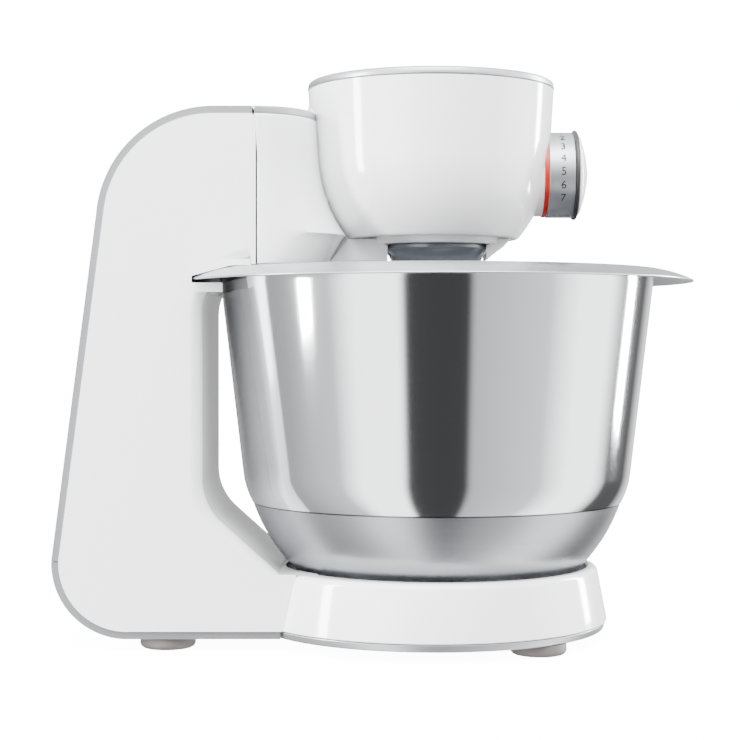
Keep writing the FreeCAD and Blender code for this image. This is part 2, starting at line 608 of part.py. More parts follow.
node("top_deck", cut(
    "top_deck_cut", rod("top_deck_disc", "cup_top - skin - 1", "2", "cup_x", "0", "top_deck_z"),
    rod("top_deck_hole", "coupling_size + 2", "20", MOTOR_X, "0", "top_deck_z - 5")))
node("control_board", block("control_board_plate", "12", "1.6", "40", STUB_X + " + 3.2", "40",
                            "throat_head + skin + part_gap"))

# ---------------------------------------------------------------- gears
PRESSURE = math.radians(25.0)
ADDENDUM, DEDENDUM = 0.8, 1.05


def tooth_edges(radius, root, tip, half_pitch_angle, turn, base):
    """Flank points of one involute tooth: half its thickness shrinks as the radius grows."""
    def half_angle(at):
        def involute(angle):
            return math.tan(angle) - angle
        here = math.acos(min(1.0, base / at))
        return half_pitch_angle + involute(PRESSURE) - involute(here)

    def spot(at, side):
        angle = turn + side * half_angle(max(at, base))
        return Vector(at * math.cos(angle), at * math.sin(angle), 0)
    low = max(root, base)
    right = [spot(root, -1)] + [spot(at, -1) for at in (low, radius, tip)]
    left = [spot(root, 1)] + [spot(at, 1) for at in (low, radius, tip)]
    return right, left


def gear_face(module, teeth, phase, addendum, dedendum, slack):
    """The flat outline of a gear; phase is the first tooth's direction in degrees."""
    radius = module * teeth / 2
    base = radius * math.cos(PRESSURE)
    root, tip = radius - dedendum * module, radius + addendum * module
    half_pitch_angle = math.pi / 2 / teeth - slack / 2 / radius
    edges = []
    first = last = None
    for count in range(teeth):
        turn = math.radians(phase) + 2 * math.pi * count / teeth
        right, left = tooth_edges(radius, root, tip, half_pitch_angle, turn, base)
        if last is None:
            first = right[0]
        else:
            edges.append(Part.LineSegment(last, right[0]).toShape())
        if right[0].distanceToPoint(right[1]) > 0.01:
            edges.append(Part.LineSegment(right[0], right[1]).toShape())
        edges.append(Part.Arc(right[1], right[2], right[3]).toShape())
        edges.append(Part.LineSegment(right[3], left[3]).toShape())
        edges.append(Part.Arc(left[3], left[2], left[1]).toShape())
        if left[0].distanceToPoint(left[1]) > 0.01:
            edges.append(Part.LineSegment(left[1], left[0]).toShape())
        last = left[0]
    edges.append(Part.LineSegment(last, first).toShape())
    return Part.Face(Part.Wire(edges))


def toothed(label, module, teeth, phase, low, face, x, bore=0.0):
    """An external gear as a solid of its own, standing at height low."""
    flat = gear_face(number(module), int(number(teeth)), phase, ADDENDUM, DEDENDUM,
                     number("backlash") / 2)
    solid = flat.extrude(Vector(0, 0, number(face)))
    if bore:
        solid = solid.cut(Part.makeCylinder(bore, number(face)))
    gear = doc.addObject("Part::Feature", label)
    gear.Shape = solid
    gear.Placement = FreeCAD.Placement(Vector(number(x), 0, number(low)), FreeCAD.Rotation())
    return gear


# the fixed ring: its tooth spaces are the outline of a gear with thin slack turned outwards
ring_blank = Part.makeCylinder(number(RING_OUT), number("planet_face") + 1)
ring_spaces = gear_face(number("coarse_module"), int(number("ring_teeth")), 0.0, DEDENDUM,
                        ADDENDUM, -number("backlash") / 2).extrude(Vector(0, 0, 20))
ring_gear = doc.addObject("Part::Feature", "ring_gear_body")
ring_gear.Shape = ring_blank.cut(ring_spaces)
ring_gear.Placement = FreeCAD.Placement(
    Vector(number(HUB_X), 0, number("planet_z") - 0.5), FreeCAD.Rotation())
node("ring_gear", ring_gear)

# ---------------------------------------------------------------- hub, carrier and tool spindle
hub_form = turned("hub_form", [
    ("0", "hub_low"), ("hub_size - 2", "hub_low"), ("hub_size", "hub_low + 2", "2", -1),
    ("hub_size", "flare_z"), ("flange", "flange_z", "11", 1), ("flange", "collar_low - part_gap"),
    ("hub_neck", "collar_low - part_gap"), ("hub_neck", "planet_z - 1"), ("0", "planet_z - 1"),
], x=HUB_X)
pillar = common("pillar", rod("pillar_rod", "pillar", "carrier_z - planet_z + 5", HUB_X, "0",
                              "planet_z - 5"),
                block("pillar_side", "pillar", "2 * pillar", "40", "bowl_x - pillar - 1", "-pillar",
                      "planet_z - 10"))
screw_places = [("bowl_x - 13", "-7"), ("bowl_x - 13", "7")]
screw_holes = [rod("screw_hole", "1.5", "40", x, y, "planet_z - 4") for x, y in screw_places]
node("hub_body", cut("hub_body_cut", fuse("hub_blank", hub_form, pillar),
                     rod("spindle_bore", "shaft + running", "60", PLANET_X, "0", "hub_low - 5"),
                     rod("socket_room", "socket_size + part_gap", "socket_top - hub_low + 5.3",
                         PLANET_X, "0", "hub_low - 5"), *screw_holes))
carrier_wheel = toothed("carrier_wheel", "coarse_module", "carrier_teeth", 0.0, "carrier_z",
                        "carrier_face", HUB_X)
carrier_stub = rod("carrier_stub", "shaft", "deck_plate_z + deck_plate_thick - carrier_z",
                   HUB_X, "0", "carrier_z")
node("carrier_gear", cut("carrier_gear_cut", fuse("carrier_blank", carrier_wheel, carrier_stub),
                         rod("journal_bore", "journal + running", "20", PLANET_X, "0",
                             "carrier_z - 5"), *screw_holes))
node("carrier_screws", fuse("carrier_screw_group", *(
    [rod("screw", "1.5", "carrier_z + carrier_face - planet_z + 4", x, y, "planet_z - 4")
     for x, y in screw_places]
    + [rod("screw_head", "2.8", "1", x, y, "carrier_z + carrier_face") for x, y in screw_places])))
node("tool_spindle", cut("tool_spindle_cut", fuse(
    "spindle_blank",
    rod("spindle_socket", "socket_size", "socket_top - hub_low", PLANET_X, "0", "hub_low"),
    rod("spindle_shaft", "shaft", "planet_z + planet_face - socket_top", PLANET_X, "0",
        "socket_top"),
    rod("spindle_journal", "journal", "carrier_z + 5 - planet_z - planet_face", PLANET_X, "0",
        "planet_z + planet_face")),
    rod("socket_bore_hole", "socket_bore", "socket_depth", PLANET_X, "0", "hub_low")))
node("planet_gear", toothed("planet_gear_body", "coarse_module", "planet_teeth", 0.0, "planet_z",
                            "planet_face", PLANET_X, number("shaft")))

# ---------------------------------------------------------------- layshaft and motor rotor
lay_phase = 180.0 / number("lay_teeth")
lay_pinion = toothed("lay_pinion", "coarse_module", "lay_teeth", lay_phase, "carrier_z - 0.4",
                     "carrier_face + 0.8", LAY_X)
node("layshaft", fuse(
    "layshaft_blank", lay_pinion,
    rod("lay_journal", "journal", "carrier_z - tray_z", LAY_X, "0", "tray_z + 0.2"),
    rod("lay_stem", "shaft", "wheel_z + wheel_face - carrier_z", LAY_X, "0", "carrier_z")))
node("layshaft_wheel", toothed("layshaft_wheel_body", "fine_module", "wheel_teeth", 0.0,
                               "wheel_z", "wheel_face", LAY_X, number("shaft")))
motor_phase = 180.0 / number("pinion_teeth")
motor_pinion = toothed("motor_pinion", "fine_module", "pinion_teeth", motor_phase, "wheel_z - 0.4",
                       "wheel_face + 1", MOTOR_X)
MOTOR_SHAFT = "shaft - 0.5"
node("motor_shaft", fuse("motor_shaft_blank", motor_pinion, rod(
    "motor_rod", MOTOR_SHAFT, "coupling_z + coupling_height - 2 - wheel_z", MOTOR_X, "0",
    "wheel_z")))
for name, size, low, height in (
        ("rotor_core", "stator_bore - air_gap", "stator_z", "stator_height"),
        ("commutator_drum", "commutator", "commutator_z", "5")):
    node(name, ring(name + "_ring", MOTOR_SHAFT, size, low, low + " + " + height, MOTOR_X))
fan_hub = rod("fan_hub", "9", "4", MOTOR_X, "0", "fan_z")
blades = []
for count in range(9):
    blade = doc.addObject("Part::Box", "fan_blade")
    bind(blade, Length="fan_size - 6", Width="1.6", Height="4")
    turn = FreeCAD.Rotation(Vector(0, 0, 1), 360.0 * count / 9)
    start = turn.multVec(Vector(6, -0.8, 0))
    move(blade, "%s + (%.4f)" % (MOTOR_X, start.x), "%.4f" % start.y, "fan_z", turn)
    blades.append(blade)
node("cooling_fan", cut("fan_cut", fuse("fan_blank", fan_hub, *blades),
                        rod("fan_bore", MOTOR_SHAFT, "20", MOTOR_X, "0", "fan_z - 5")))
lugs_on_top = [block("coupling_lug", "2 * coupling_size - 3", "3", "3",
                     MOTOR_X + " - coupling_size + 1.5", "-1.5",
                     "coupling_z + coupling_height - 2")]
node("blender_coupling", cut("coupling_cut", fuse(
    "coupling_blank", rod("coupling_disc", "coupling_size", "coupling_height - 2", MOTOR_X, "0",
                          "coupling_z + 0.3"), *lugs_on_top),
    rod("coupling_bore", MOTOR_SHAFT, "coupling_height - 2", MOTOR_X, "0", "coupling_z")))

# ---------------------------------------------------------------- speed dial
node("speed_switch", block("speed_switch_box", "5", "18", "18",
                           "cup_x + bracket_size + part_gap", "-9", "dial_z - 9"))
node("dial_boss", cut("dial_boss_cut", ring(
    "dial_boss_ring", "dial_shaft + 0.4", "boss_size", "cup_x + 40", "dial_back_x - red_ring - 0.4",
    "0", "0", "dial_z", TO_X), cup_outside))
node("red_ring", cut("red_ring_cut", ring(
    "red_ring_band", "boss_size - 4", "dial_size", "dial_back_x - red_ring - 0.4",
    "dial_back_x - 0.4", "0", "0", "dial_z", TO_X), cup_outside))
node("dial_body", turned("dial_body_form", [
    ("dial_shaft", "dial_back_x"), ("dial_size", "dial_back_x"), ("dial_size", "dial_front_x"),
    ("dial_shaft", "dial_front_x"),
], "0", "0", "dial_z", TO_X))
node("dial_grip", turned("dial_grip_form", [
    ("cap_size + 0.2", "dial_front_x"), ("grip_size - 0.8", "dial_front_x"),
    ("grip_size - 0.8", "dial_front_x + grip_width", "1.3", -1),
    ("cap_size + 0.2", "dial_front_x + grip_width"),
], "0", "0", "dial_z", TO_X))
CAP_ARC = "(((cap_size - cap_flat) ^ 2 + cap_bulge ^ 2) / (2 * cap_bulge))"
node("dial_cap", turned("dial_cap_form", [
    ("0", "dial_front_x"), ("cap_size", "dial_front_x"),
    ("cap_size", "dial_front_x + grip_width"),
    ("cap_flat", "dial_front_x + grip_width + cap_bulge", CAP_ARC, -1),
    ("0", "dial_front_x + grip_width + cap_bulge"),
], "0", "0", "dial_z", TO_X))
node("dial_shaft_rod", rod("dial_shaft_form", "dial_shaft", "dial_front_x - cup_x - 52.3",
                           "cup_x + 52.3", "0", "dial_z", TO_X))

# ---------------------------------------------------------------- lock button
node("lock_button", rod("lock_button_form", "button_size", "column_half + button_proud - 44",
                        "button_x", "44", "button_z", TO_Y))
node("lock_bolt", rod("lock_bolt_form", "bolt_size", "44 - lug_out - part_gap", "button_x",
                      "lug_out + part_gap", "button_z", TO_Y))


# ---------------------------------------------------------------- check and write
def main():
    """Recompute, test every object and write each sub-part to its own file."""
    doc.recompute()
    faults = [item.Label for item in doc.Objects
              if "Invalid" in item.State or "Error" in item.State]
    if faults:
        raise SystemExit("objects that failed: " + ", ".join(faults))
    os.makedirs("parts", exist_ok=True)
    for item in NODES:
        shape = item.Shape
        if shape.isNull() or not shape.isValid() or not shape.Solids:
            raise SystemExit("bad shape: " + item.Label)
        shape.exportStep("parts/%s.step" % item.Label)
        print("%-20s %d solids %10.1f mm3" % (item.Label, len(shape.Solids), shape.Volume))
    print(len(NODES), "sub-parts written")


main()
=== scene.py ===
# %% [markdown]
# # A stand mixer, dressed and lit
#
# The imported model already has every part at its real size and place. This lesson gives it its
# looks: the shells, the bowl and the dial are worked out again as smooth surfaces, every finish
# is a small set of shader nodes, and a white studio is built round it. A surface is made as a
# grid of points with numpy, because a formula for the whole grid is shorter to read, and
# smoother, than a mesh edited by hand.

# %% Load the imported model
import json
import math

import bmesh
import bpy
import numpy as np
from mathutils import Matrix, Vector


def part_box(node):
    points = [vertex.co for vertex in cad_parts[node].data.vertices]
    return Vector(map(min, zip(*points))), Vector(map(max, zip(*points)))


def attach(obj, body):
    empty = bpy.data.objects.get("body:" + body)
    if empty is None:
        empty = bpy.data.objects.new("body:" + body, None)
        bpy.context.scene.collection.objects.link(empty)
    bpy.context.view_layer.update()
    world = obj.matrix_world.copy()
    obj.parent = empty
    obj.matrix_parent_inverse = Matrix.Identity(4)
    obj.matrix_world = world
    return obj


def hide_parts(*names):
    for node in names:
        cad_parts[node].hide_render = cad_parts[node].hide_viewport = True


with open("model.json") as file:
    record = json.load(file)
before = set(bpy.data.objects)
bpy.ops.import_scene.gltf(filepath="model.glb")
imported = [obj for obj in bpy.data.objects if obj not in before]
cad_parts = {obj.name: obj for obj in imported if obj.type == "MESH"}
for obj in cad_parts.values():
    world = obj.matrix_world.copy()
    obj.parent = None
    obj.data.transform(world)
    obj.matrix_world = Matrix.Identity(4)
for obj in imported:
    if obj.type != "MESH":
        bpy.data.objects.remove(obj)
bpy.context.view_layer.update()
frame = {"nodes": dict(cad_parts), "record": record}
nodes = frame["nodes"]
MM = 0.001
print("parts in the packed model:", len(nodes))

# %% [markdown]
# ## Shader sums as plain Python
#
# A finish is a chain of nodes, and most of them only add or multiply. Wiring those by hand
# hides the idea, so a `Wire` stands for one socket, and an expression on wires adds its Math
# nodes. Every other node comes from one method of `NodeBuilder`, which takes the node's type,
# its settings and the values of its sockets. A `Finish` is a builder that has a main shader.

# %% Wires that can be added and multiplied
class Wire:
    """An output socket of a node tree, with arithmetic."""

    def __init__(self, builder, socket):
        self.builder, self.socket = builder, socket

    def math(self, operation, *inputs):
        """One Math node on the given numbers or wires."""
        return self.builder.node("Math", {"operation": operation}, *inputs)

    def __add__(self, other):
        return self.math("ADD", self, other)

    def __mul__(self, other):
        return self.math("MULTIPLY", self, other)

    def __sub__(self, other):
        return self.math("SUBTRACT", self, other)

    def __rsub__(self, other):
        return self.math("SUBTRACT", other, self)

    def root(self):
        """The square root."""
        return self.math("SQRT", self)

    def between(self, low, high):
        """0 at low, 1 at high, and a smooth rise from one to the other."""
        settings = {"interpolation_type": "SMOOTHSTEP", "clamp": True}
        return self.builder.node("MapRange", settings, self, low, high, 0.0, 1.0)

    __radd__, __rmul__ = __add__, __mul__


print("a wire knows: + - * root between")


# %% A builder that adds any node
class NodeBuilder:
    """Adds nodes to one node tree."""

    def __init__(self, tree):
        self.tree = tree
        self.tree.nodes.clear()

    def node(self, kind, settings, *values, out=0, **named):
        """Add a node: settings first, then values or wires for its sockets."""
        item = self.tree.nodes.new("ShaderNode" + kind)
        for key, value in settings.items():
            if key == "stops":
                self.set_stops(item.color_ramp, value)
            else:
                setattr(item, key, value)
        for place, value in list(enumerate(values)) + list(named.items()):
            self.put(item.inputs[place], value)
        return Wire(self, item.outputs[out])

    def set_stops(self, ramp, stops):
        """Fill a colour ramp with (position, colour) stops."""
        while len(ramp.elements) < len(stops):
            ramp.elements.new(0.5)
        for element, (position, colour) in zip(ramp.elements, stops):
            element.position, element.color = position, (*colour, 1.0)

    def put(self, socket, value):
        """Give a socket a number, a colour or a wire."""
        if isinstance(value, Wire):
            self.tree.links.new(value.socket, socket)
        elif isinstance(value, tuple) and socket.type == "RGBA":
            socket.default_value = (*value, 1.0)
        else:
            socket.default_value = value

    def close(self, kind, shader):
        """Add the output node and wire a shader's socket to its surface."""
        end = self.tree.nodes.new("ShaderNode" + kind)
        self.tree.links.new(shader, end.inputs["Surface"])

    def axes(self, vector):
        """The three parts of a vector as three wires."""
        outputs = self.node("SeparateXYZ", {}, vector).socket.node.outputs
        return [Wire(self, outputs[axis]) for axis in "XYZ"]

    def blend(self, share, first, second):
        """A colour between two others."""
        return self.node("Mix", {"data_type": "RGBA"}, Factor=share, A=first, B=second, out=2)


print("the builder adds nodes and wires them")


# %% A finish is a builder with a main shader
class Finish(NodeBuilder):
    """A material in the making."""

    def __init__(self, name):
        self.material = bpy.data.materials.new(name)
        self.material.use_nodes = True
        super().__init__(self.material.node_tree)
        self.shader = self.tree.nodes.new("ShaderNodeBsdfPrincipled")
        self.close("OutputMaterial", self.shader.outputs[0])

    def set(self, **inputs):
        """Set the main shader's sockets; an underscore stands for a space."""
        for name, value in inputs.items():
            self.put(self.shader.inputs[name.replace("_", " ")], value)
        return self

    def place(self):
        """Where a point is on the object, in metres."""
        return self.node("TexCoord", {}, out="Object")

    def noise(self, scale, detail=2.0, where=None):
        """Cloudy noise between 0 and 1."""
        return self.node("TexNoise", {}, Vector=where or self.place(), Scale=scale, Detail=detail)

    def stretched(self, across, along, up):
        """The place, stretched by a factor on each axis."""
        return self.node("Mapping", {}, self.place(), Scale=(across, along, up))

    def relief(self, height, depth):
        """Bump: height is a wire, depth is in metres."""
        bump = self.node("Bump", {}, Strength=1.0, Distance=depth, Height=height)
        return self.set(Normal=bump)


print("shader helpers are ready")

# %% [markdown]
# ## The finishes
#
# The body is injection-moulded white plastic with a high gloss: real mouldings have a faint
# orange-peel ripple and a little more polish in some places than in others. The silver trim is
# metallic paint over plastic, so it is part metal with fine flakes. Rubber is matt and grainy.

# %% Plastics, paint and rubber
def moulded_plastic(name, colour, roughness, ripple=0.000002, coat=0.35):
    """Glossy moulded plastic: faint ripple, faint change of polish and tone."""
    finish = Finish(name)
    cloud = finish.noise(14.0, 3.0)
    dark = tuple(part * 0.965 for part in colour)
    finish.set(Base_Color=finish.blend(cloud, dark, colour))
    finish.set(Roughness=cloud * (roughness * 0.5) + roughness * 0.75)
    finish.set(Coat_Weight=coat, Coat_Roughness=0.03, IOR=1.49)
    return finish.relief(finish.noise(260.0, 1.0), ripple).material


def metallic_paint(name, colour, roughness):
    """Silver paint: fine flakes glitter in an even, half-metal base."""
    finish = Finish(name)
    flakes = finish.noise(4200.0, 1.0)
    cloud = finish.noise(30.0, 2.0)
    dark = tuple(part * 0.86 for part in colour)
    finish.set(Base_Color=finish.blend(flakes, dark, colour), Metallic=0.8)
    finish.set(Roughness=cloud * 0.08 + (roughness - 0.04))
    return finish.relief(flakes, 0.000004).material


def moulded_rubber(name, colour, roughness, grain, gloss=0.5):
    """Rubber or ink: matt, with a fine grain and dusty patches."""
    finish = Finish(name)
    cloud = finish.noise(45.0, 4.0)
    pale = tuple(part * 1.35 for part in colour)
    finish.set(Base_Color=finish.blend(cloud, colour, pale), Specular_IOR_Level=gloss)
    finish.set(Roughness=cloud * 0.2 + (roughness - 0.1))
    return finish.relief(finish.noise(1600.0, 2.0), grain).material


def machined_metal(name, colour, roughness, streaks):
    """Cut or rolled metal: streaks round the upright axis and a mottled polish."""
    finish = Finish(name)
    lines = finish.noise(1.0, 3.0, finish.stretched(60.0, 60.0, streaks))
    cloud = finish.noise(55.0, 3.0)
    dark = tuple(part * 0.8 for part in colour)
    finish.set(Base_Color=finish.blend(lines, dark, colour), Metallic=1.0)
    finish.set(Roughness=cloud * 0.12 + lines * 0.1 + (roughness - 0.11))
    return finish.relief(lines, 0.00001).material


print("four kinds of finish can be mixed")

# %% Mix the finishes
WHITE = (0.86, 0.865, 0.87)
gloss_white = moulded_plastic("gloss_white", WHITE, 0.13)
silver_paint = metallic_paint("silver_paint", (0.40, 0.41, 0.43), 0.34)
grey_plastic = moulded_plastic("grey_plastic", (0.12, 0.135, 0.155), 0.16)
black_plastic = moulded_plastic("black_plastic", (0.03, 0.03, 0.033), 0.45, 0.00001, 0.0)
inner_plastic = moulded_plastic("inner_plastic", (0.55, 0.55, 0.54), 0.4, 0.00001, 0.0)
gear_plastic = moulded_plastic("gear_plastic", (0.72, 0.68, 0.58), 0.4, 0.00001, 0.0)
signal_red = moulded_plastic("signal_red", (0.42, 0.004, 0.003), 0.35, 0.000002, 0.0)
foot_rubber = moulded_rubber("foot_rubber", (0.085, 0.076, 0.072), 0.6, 0.00003)
black_rubber = moulded_rubber("black_rubber", (0.012, 0.012, 0.013), 0.42, 0.00001)
machined_steel = machined_metal("machined_steel", (0.50, 0.51, 0.53), 0.3, 2600.0)
bronze = machined_metal("bronze", (0.62, 0.42, 0.22), 0.35, 2600.0)
copper = machined_metal("copper", (0.70, 0.38, 0.24), 0.3, 2600.0)
cast_alloy = machined_metal("cast_alloy", (0.60, 0.61, 0.62), 0.45, 300.0)
core_iron = machined_metal("core_iron", (0.16, 0.17, 0.18), 0.5, 1700.0)
print("finishes:", len(bpy.data.materials))

# %% [markdown]
# ## The bowl's steel
#
# One sheet carries three finishes. The wall is polished until it mirrors the room, the foot
# below the pressed line is brushed round and round, and the brim is satin. They could be three
# materials, but the edge between them is soft on a real bowl, so one material blends them by
# height and by distance from the bowl's axis.

# %% Polished, brushed and satin steel in one material
bowl_low, bowl_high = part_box("bowl")
BOWL_X = (bowl_low.x + bowl_high.x) / 2
BRIM_EDGE = (bowl_high.y - bowl_low.y) / 2
BOWL_TOP, BOWL_FLOOR = bowl_high.z, bowl_low.z
LINE_Z = BOWL_FLOOR + 37.4 * MM
WALL_TOP = BRIM_EDGE - 20.3 * MM


def drawn_steel():
    """Steel whose polish follows the zones of the bowl, with painted shade along the pressed line.
    """
    finish = Finish("drawn_steel")
    across, along, up = finish.axes(finish.place())
    east = across - BOWL_X
    distance = (east * east + along * along).root()
    brim = distance.between(WALL_TOP + 0.5 * MM, WALL_TOP + 3 * MM)
    foot = 1 - up.between(LINE_Z - 0.4 * MM, LINE_Z + 0.2 * MM)
    hairlines = finish.noise(1.0, 3.0, finish.stretched(9.0, 9.0, 3300.0))
    drift = finish.noise(9.0, 2.0)
    # Painted shade: a thin near-black band in the steel's colour along the pressed line, standing
    # in for the shade in the crease.
    painted_line_shade = up.between(LINE_Z - 0.55 * MM, LINE_Z - 0.25 * MM)
    painted_line_shade = painted_line_shade * (1 - up.between(LINE_Z + 0.25 * MM, LINE_Z + 0.55 * MM))
    steel = finish.blend(foot, (0.62, 0.63, 0.65), (0.30, 0.31, 0.33))
    steel = finish.blend(painted_line_shade * 0.85, steel, (0.03, 0.03, 0.035))
    finish.set(Base_Color=finish.blend(brim, steel, (0.42, 0.43, 0.45)), Metallic=1.0)
    finish.set(Roughness=drift * 0.04 + 0.07 + foot * 0.17 + brim * 0.2 + foot * hairlines * 0.12)
    return finish.relief(hairlines * (foot * 0.9 + 0.03), 0.000012).material


bowl_steel = drawn_steel()
print("bowl steel: brim radius", round(BRIM_EDGE / MM, 1), "mm")

# %% [markdown]
# ## Finishes on the parts that keep their CAD shape
#
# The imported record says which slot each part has, so one table from slot to finish dresses the
# whole machine, the gears and the motor included: they show when the lid is lifted.

# %% Dress the CAD parts by slot
FINISH_OF = {
    "white_shell": gloss_white, "silver_trim": silver_paint, "trim_silver_dark": silver_paint,
    "bowl_steel": bowl_steel, "rubber": foot_rubber, "black_rubber": black_rubber,
    "grey_plastic": grey_plastic, "dark_plastic": black_plastic, "red_plastic": signal_red,
    "inner_plastic": inner_plastic, "frame_steel": machined_steel, "gear_plastic": gear_plastic,
    "gear_steel": machined_steel, "bronze_bush": bronze, "iron_core": core_iron,
    "copper_drum": copper, "alloy": cast_alloy,
}
SLOT_OF = {part["node"]: part["material_slot"] for part in frame["record"]["subparts"]}
for name, part in nodes.items():
    part.data.materials.clear()
    part.data.materials.append(FINISH_OF[SLOT_OF[name]])
print("dressed", len(SLOT_OF), "CAD parts")

# %% [markdown]
# ## Surfaces as grids
#
# Nearly every shell here is either a profile turned about an axis or a plan outline that
# changes with height. Both are one grid of points, so one function makes the mesh: it joins
# neighbours, closes the grid where it goes round, and welds poles. Edges sharper than an
# angle stay crisp, and all the others shade smoothly.

# %% Meshes from grids
def grid_piece(name, points, around=True, closed=False):
    """A mesh from a (rows, columns, 3) grid; around joins the last column to the first."""
    rows, columns = points.shape[:2]
    index = np.arange(rows * columns).reshape(rows, columns)
    down = np.roll(index, -1, 0) if closed else index[1:]
    here = index if closed else index[:-1]
    if around:
        right_here, right_down = np.roll(here, -1, 1), np.roll(down, -1, 1)
    else:
        here, down, right_here, right_down = (
            here[:, :-1], down[:, :-1], here[:, 1:], down[:, 1:])
    faces = np.stack([here, right_here, right_down, down], -1).reshape(-1, 4)
    mesh = bpy.data.meshes.new(name)
    mesh.from_pydata(points.reshape(-1, 3).tolist(), [], faces.tolist())
    return finish_mesh(name, mesh)


def finish_mesh(name, mesh, sharp=32.0):
    """Weld doubles, point the faces outwards and shade smoothly up to a sharp angle."""
    work = bmesh.new()
    work.from_mesh(mesh)
    bmesh.ops.remove_doubles(work, verts=work.verts, dist=1e-7)
    holes = [edge for edge in work.edges if len(edge.link_faces) == 1]
    if holes:
        bmesh.ops.holes_fill(work, edges=holes, sides=0)
    bmesh.ops.recalc_face_normals(work, faces=work.faces)
    work.to_mesh(mesh)
    work.free()
    mesh.shade_smooth()
    mesh.set_sharp_from_angle(angle=math.radians(sharp))
    piece = bpy.data.objects.new(name, mesh)
    bpy.context.scene.collection.objects.link(piece)
    return piece


print("grids become welded meshes")

# %% [markdown]
# ## Outlines
#
# A profile is a list of corners. Two kinds are needed: an open one, whose points can be joined
# by arcs of a given radius, and a closed one, whose corners are all rounded. Working them out
# here means that every edge has a real radius, which is what catches the light.


# %% Outlines from lines and arcs
def trace(points, steps=14):
    """An outline from (across, up) points; (across, up, radius, side) arrives by an arc.

    side is +1 when the arc bulges to the left of its chord. Sizes are millimetres.
    """
    path = [np.array([points[0][:2]], float)]
    for start, stop in zip(points, points[1:]):
        first, last = np.array(start[:2], float), np.array(stop[:2], float)
        if len(stop) == 2:
            path.append(last[None])
            continue
        radius, side = stop[2:]
        chord = last - first
        half = np.linalg.norm(chord) / 2
        left = np.array([-chord[1], chord[0]]) / (2 * half)
        centre = (first + last) / 2 - side * left * math.sqrt(max(radius ** 2 - half ** 2, 0))
        begin = math.atan2(*(first - centre)[::-1])
        sweep = -side * 2 * math.asin(min(1.0, half / radius))
        angles = begin + sweep * np.linspace(0, 1, steps + 1)[1:]
        path.append(centre + radius * np.stack([np.cos(angles), np.sin(angles)], -1))
    return np.concatenate(path) * MM


print("open outlines take arcs")


# %% Closed outlines with rounded corners
def soften(corners, steps=6):
    """A closed outline whose corners (across, up, radius) are rounded, in millimetres.

    Each corner becomes an arc that touches both of its sides: its points are a blend of the
    two directions from the arc's middle, weighted by sines.
    """
    spots = np.array([corner[:2] for corner in corners], float)
    path = []
    for number, corner in enumerate(corners):
        radius = corner[2] if len(corner) > 2 else 0
        here = spots[number]
        if not radius:
            path.append(here[None])
            continue
        back = spots[number - 1] - here
        ahead = spots[(number + 1) % len(spots)] - here
        back, ahead = back / np.linalg.norm(back), ahead / np.linalg.norm(ahead)
        half = math.acos(np.clip(back @ ahead, -1, 1)) / 2
        reach = radius / math.tan(half)
        middle = here + (back + ahead) / np.linalg.norm(back + ahead) * radius / math.sin(half)
        first, last = here + back * reach - middle, here + ahead * reach - middle
        share = np.linspace(0, 1, steps + 1)[:, None]
        bend = math.pi - 2 * half
        path.append(middle + (np.sin((1 - share) * bend) * first + np.sin(share * bend) * last)
                    / math.sin(bend))
    return np.concatenate(path) * MM


print("closed outlines get round corners")


# %% Turned pieces, and how a piece is dressed
def turned(name, outline, centre=0.0, columns=160, closed=True, axis="z", height=0.0):
    """Turn an outline of (radius, height) rows about an upright axis, or about X."""
    angle = np.linspace(0, 2 * np.pi, columns, endpoint=False)
    radius, level = outline[:, 0][:, None], outline[:, 1][:, None]
    middle = np.broadcast_to(np.asarray(centre, float).reshape(-1, 1), radius.shape)
    if axis == "z":
        grid = np.stack([middle + radius * np.cos(angle), radius * np.sin(angle),
                         level + 0 * angle], -1)
    else:
        grid = np.stack([level + 0 * angle, radius * np.cos(angle),
                         height + radius * np.sin(angle)], -1)
    return grid_piece(name, grid, closed=closed)


def dress(piece, body, slot, finish, *replaced):
    """Give a piece its finish and its body, and hide the CAD parts that it stands for; slot is not
    used.
    """
    piece.data.materials.clear()
    piece.data.materials.append(finish)
    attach(piece, body)
    if replaced:
        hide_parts(*replaced)
    print(f"{piece.name}: {len(piece.data.polygons)} faces on {body}")


print("pieces can be turned and dressed")

# %% [markdown]
# ## The bowl
#
# A mixing bowl is one steel sheet, pressed and spun. Its profile is a flat floor, a bulging
# foot, a pressed line, a shoulder, a tall wall that opens slightly and a drooping brim. The
# profile goes up the outside and down the inside, so turning it makes the sheet with its real
# thickness, and the brim's edge is round like a spun one.

# %% Turn the bowl
floor, top = BOWL_FLOOR / MM, BOWL_TOP / MM
edge = BRIM_EDGE / MM
bowl_profile = trace([
    (0, floor), (65.5, floor), (70.5, floor + 2, 7, -1), (93.5, floor + 37.4, 85, -1),
    (93.9, floor + 37.6), (98.4, floor + 51.8, 41, -1), (109.7, floor + 146.4),
    (110.9, top - 2.4, 30, 1), (113.5, top - 1.0, 3.4, 1), (edge - 0.6, top - 6.2),
    (edge, top - 5.6, 0.6, -1), (edge - 0.6, top - 5.1, 0.6, -1), (113, top, 60, -1),
    (109.4, top - 1.5, 3.6, -1), (108.7, floor + 146.4), (97.4, floor + 51.8),
    (92.8, floor + 37.7, 40, 1), (69.8, floor + 2.8, 84, 1), (65.5, floor + 1, 6, 1),
    (0, floor + 1),
])
dress(turned("steel_bowl", bowl_profile, BOWL_X, 192, closed=False),
      "bowl_body", "bowl_steel", bowl_steel, "bowl")

# %% [markdown]
# ## The head: a cup on a short arm
#
# The motor stands in a cup, and a slab-sided arm carries the cup from the hinge. The cup is a
# turned shell. The arm is a plan outline that changes with height: its sides and back stay,
# and its nose follows the back of the cup, with wide round corners. Where the two shells cross
# they leave the soft crease that the real moulding has.

